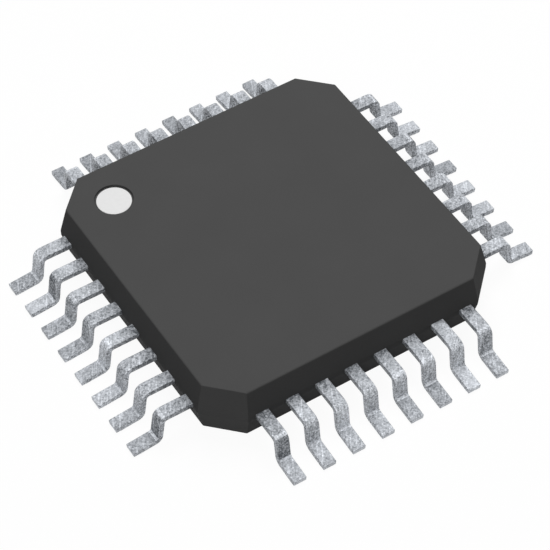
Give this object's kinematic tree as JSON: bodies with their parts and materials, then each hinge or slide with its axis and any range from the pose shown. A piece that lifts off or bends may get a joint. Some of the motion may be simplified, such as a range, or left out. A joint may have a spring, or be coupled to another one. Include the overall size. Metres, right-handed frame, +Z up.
{
  "type": "analog-to-digital converter chip",
  "caption": "Surface-mount converter chip: thin square black moulded body with cut corners, gull-wing leads on all four sides, a white pin-one mark, and die, pad and bond wires inside.",
  "frame": {"origin": "middle of the seating plane that the lead feet stand on", "axes": "+Z up out of the board; lead 1 and the mark are at the -X, +Y corner and the leads count counter-clockwise seen from +Z"},
  "size_m": [0.007, 0.007, 0.001],
  "materials": {
    "mould_compound": "matte black epoxy mould compound, fine grain from the mould",
    "white_ink": "matte white marking ink",
    "tin_plated_lead": "matte tin plating on copper alloy, finely mottled",
    "copper_alloy": "bare stamped copper alloy sheet",
    "silver_epoxy": "grey silver-filled epoxy",
    "silicon": "polished silicon with a passivated top",
    "gold_wire": "drawn gold wire"
  },
  "bodies": {
    "root": {"package_body": "mould_compound", "pin_one_mark": "white_ink", "die_pad": "copper_alloy", "die_attach": "silver_epoxy", "die": "silicon", "bond_wires": "gold_wire", "lead_01": "tin_plated_lead", "lead_02": "tin_plated_lead", "lead_03": "tin_plated_lead", "lead_04": "tin_plated_lead", "lead_05": "tin_plated_lead", "lead_06": "tin_plated_lead", "lead_07": "tin_plated_lead", "lead_08": "tin_plated_lead", "lead_09": "tin_plated_lead", "lead_10": "tin_plated_lead", "lead_11": "tin_plated_lead", "lead_12": "tin_plated_lead", "lead_13": "tin_plated_lead", "lead_14": "tin_plated_lead", "lead_15": "tin_plated_lead", "lead_16": "tin_plated_lead", "lead_17": "tin_plated_lead", "lead_18": "tin_plated_lead", "lead_19": "tin_plated_lead", "lead_20": "tin_plated_lead", "lead_21": "tin_plated_lead", "lead_22": "tin_plated_lead", "lead_23": "tin_plated_lead", "lead_24": "tin_plated_lead", "lead_25": "tin_plated_lead", "lead_26": "tin_plated_lead", "lead_27": "tin_plated_lead", "lead_28": "tin_plated_lead", "lead_29": "tin_plated_lead", "lead_30": "tin_plated_lead", "lead_31": "tin_plated_lead", "lead_32": "tin_plated_lead"}
  },
  "joints": []
}
